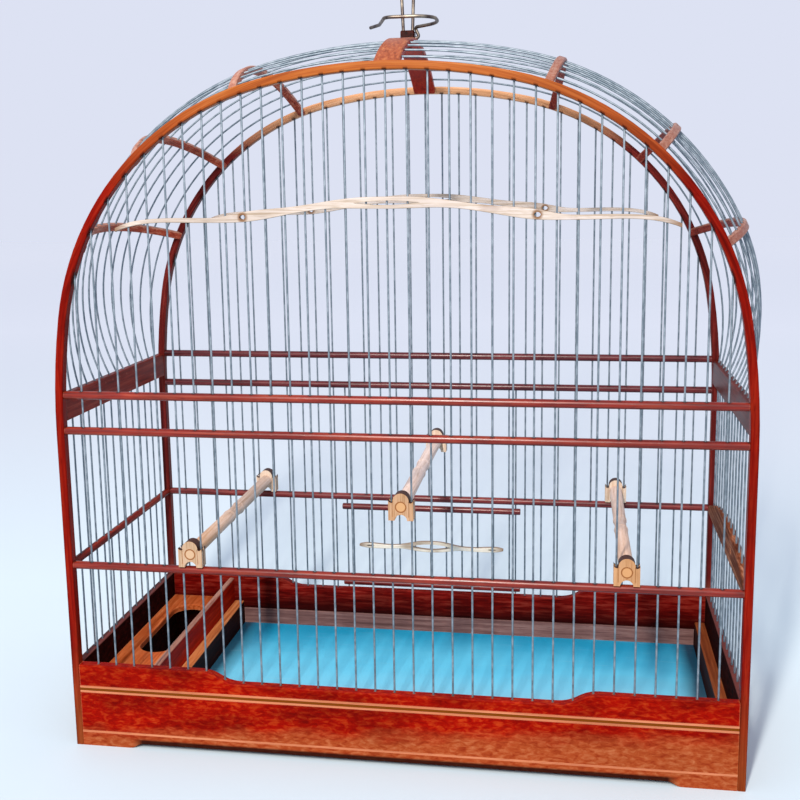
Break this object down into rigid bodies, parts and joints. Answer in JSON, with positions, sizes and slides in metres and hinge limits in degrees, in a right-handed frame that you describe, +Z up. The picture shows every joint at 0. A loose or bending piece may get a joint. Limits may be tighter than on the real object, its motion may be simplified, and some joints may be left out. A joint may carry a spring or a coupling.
{
  "type": "bird cage",
  "caption": "Round-topped wooden bird cage for small songbirds: bent arches, wire walls and roof, lifting back door, clip-in perches, rear-sliding tray, feeder shelf and swivelling wire hanger.",
  "frame": {"origin": "middle of the whole cage's footprint, at the level of its feet", "axes": "+X to the right and +Y to the back as the front is seen, +Z up"},
  "size_m": [0.5444, 0.224, 0.6127],
  "materials": {
    "frame_wood": "glossy red-brown varnish",
    "base_wood": "glossy mottled mahogany varnish",
    "inlay_wood": "pale inlaid strip under varnish",
    "feeder_wood": "satin orange varnish",
    "divider_wood": "satin tan varnish",
    "tray_blue": "smooth turquoise laminate",
    "strip_wood": "satin pinkish varnish",
    "wire_steel": "drawn galvanised wire",
    "slat_wood": "bare pale wood",
    "perch_wood": "satin turned wood",
    "saddle_wood": "satin wood with a scorched top edge",
    "block_wood": "dark maroon varnish",
    "hook_steel": "dark drawn wire"
  },
  "bodies": {
    "cage": {"front_arch": "frame_wood", "back_arch": "frame_wood", "front_upper_rail": "frame_wood", "front_middle_rail": "frame_wood", "front_lower_rail": "frame_wood", "back_upper_rail": "frame_wood", "back_middle_rail": "frame_wood", "back_lower_rail": "frame_wood", "left_mid_board": "frame_wood", "right_mid_board": "frame_wood", "left_lower_rail": "frame_wood", "right_lower_board": "frame_wood", "crown_board": "frame_wood", "left_high_lath": "frame_wood", "right_high_lath": "frame_wood", "left_middle_lath": "frame_wood", "right_middle_lath": "frame_wood", "left_low_lath": "frame_wood", "right_low_lath": "frame_wood", "front_board": "base_wood", "back_board": "base_wood", "left_board": "base_wood", "right_board": "base_wood", "front_inlays": "inlay_wood", "feeder_board": "feeder_wood", "left_tray_guide": "feeder_wood", "right_tray_guide": "feeder_wood", "feeder_divider": "divider_wood", "front_wires": "wire_steel", "back_wires": "wire_steel", "left_wall_wires": "wire_steel", "right_wall_wires": "wire_steel", "roof_wires": "wire_steel", "door_guides": "wire_steel", "front_slat": "slat_wood", "back_slat": "slat_wood", "hanger_pin": "hook_steel"},
    "door": {"door_top_bar": "frame_wood", "door_bottom_bar": "frame_wood", "door_wires": "wire_steel", "door_slat": "slat_wood"},
    "tray": {"tray_sheet": "tray_blue", "tray_strip": "strip_wood"},
    "hook": {"hanger_block": "block_wood", "hanger_eye": "hook_steel", "hanger_tail": "hook_steel"},
    "left_perch": {"left_perch": "perch_wood", "left_saddles": "saddle_wood"},
    "centre_perch": {"centre_perch": "perch_wood", "centre_saddles": "saddle_wood"},
    "right_perch": {"right_perch": "perch_wood", "right_saddles": "saddle_wood"}
  },
  "joints": [
    {"name": "door_slide", "type": "slide", "parent": "cage", "child": "door", "axis": [0, 0, 1], "range_m": [0, 0.105]},
    {"name": "tray_slide", "type": "slide", "parent": "cage", "child": "tray", "axis": [0, 1, 0], "range_m": [0, 0.185]},
    {"name": "hook_swivel", "type": "hinge", "parent": "cage", "child": "hook", "pos_m": [0, 0.00364, 0.5575], "axis": [0, 0, 1], "continuous": true},
    {"name": "left_perch_lift", "type": "slide", "parent": "cage", "child": "left_perch", "axis": [0, 0, 1], "range_m": [0, 0.078]},
    {"name": "centre_perch_lift", "type": "slide", "parent": "cage", "child": "centre_perch", "axis": [0, 0, 1], "range_m": [-0.042, 0.036]},
    {"name": "right_perch_lift", "type": "slide", "parent": "cage", "child": "right_perch", "axis": [0, 0, 1], "range_m": [0, 0.078]}
  ]
}
